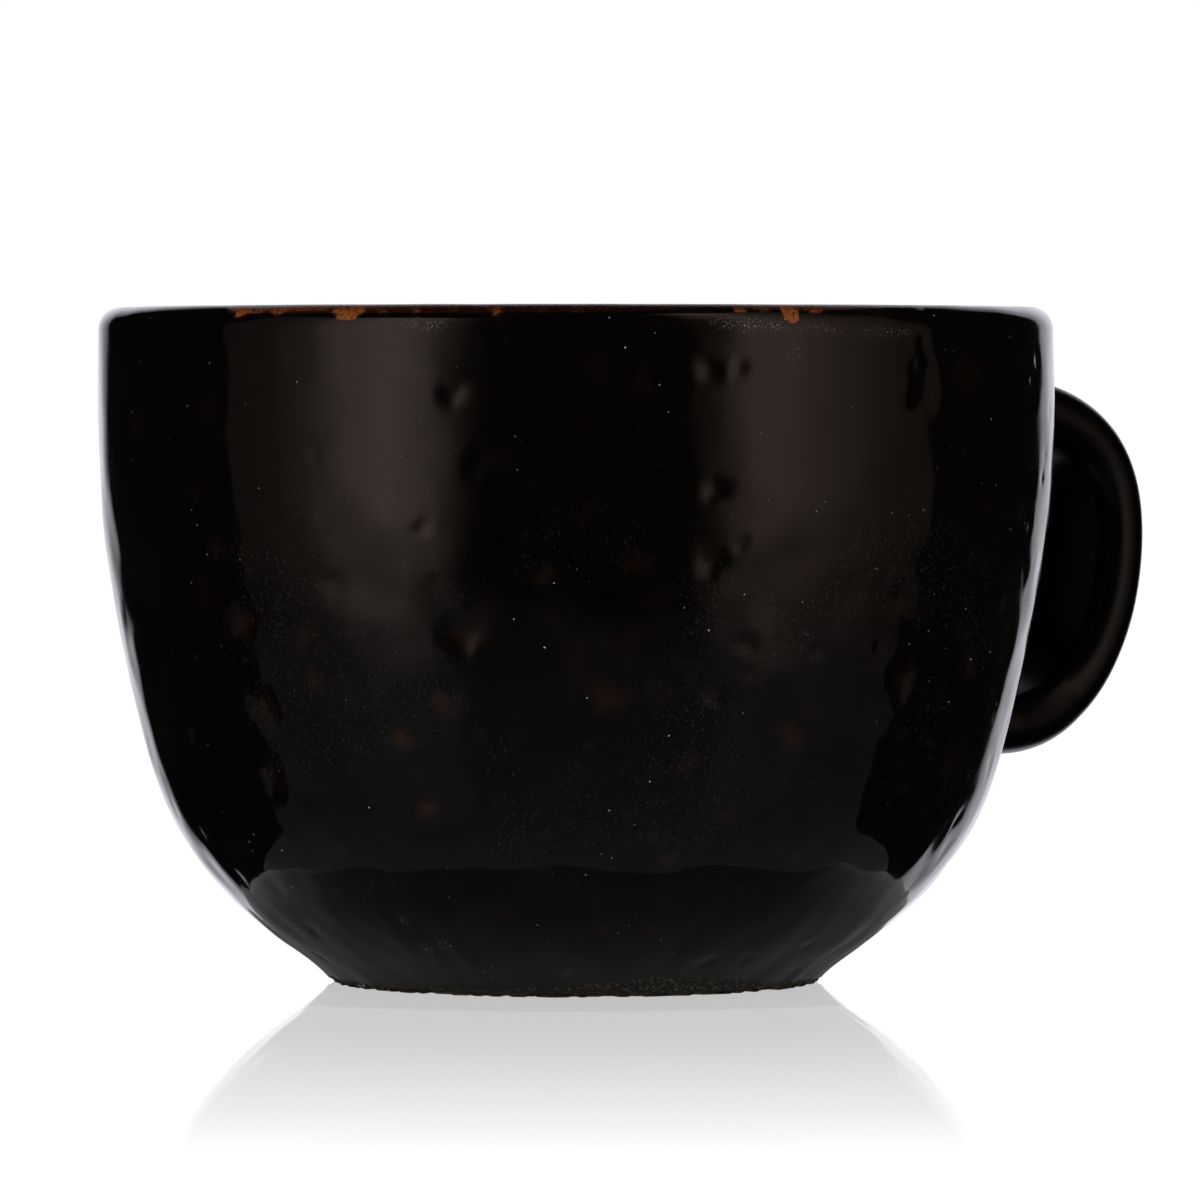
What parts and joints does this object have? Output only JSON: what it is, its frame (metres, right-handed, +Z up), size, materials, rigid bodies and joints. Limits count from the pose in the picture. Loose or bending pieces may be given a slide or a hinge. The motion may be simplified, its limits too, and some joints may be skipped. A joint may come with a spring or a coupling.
{
  "type": "latte mug",
  "caption": "Round-bellied stoneware latte mug with a broad ear-shaped strap handle, a thick rounded lip and a dark glaze that stops above a bare foot ring; holds a hot drink.",
  "frame": {"origin": "middle of the mug's footprint, handle included, on the table it stands on; the bowl's axis is the upright line at x = -12.3 mm, y = 0", "axes": "+Z up through the rim, +X from the bowl towards the handle, the handle's plane is y = 0"},
  "size_m": [0.1306, 0.106, 0.075],
  "materials": {
    "raw_clay": "rough",
    "slip": "rough",
    "iron_glaze": "glossy",
    "rust_glaze": "glossy"
  },
  "bodies": {
    "root": {"bowl_body": "raw_clay", "handle": "raw_clay", "upper_slip_joint": "slip", "lower_slip_joint": "slip", "outer_glaze": "iron_glaze", "rim_glaze": "rust_glaze", "inner_glaze": "iron_glaze", "handle_glaze": "iron_glaze"}
  },
  "joints": []
}
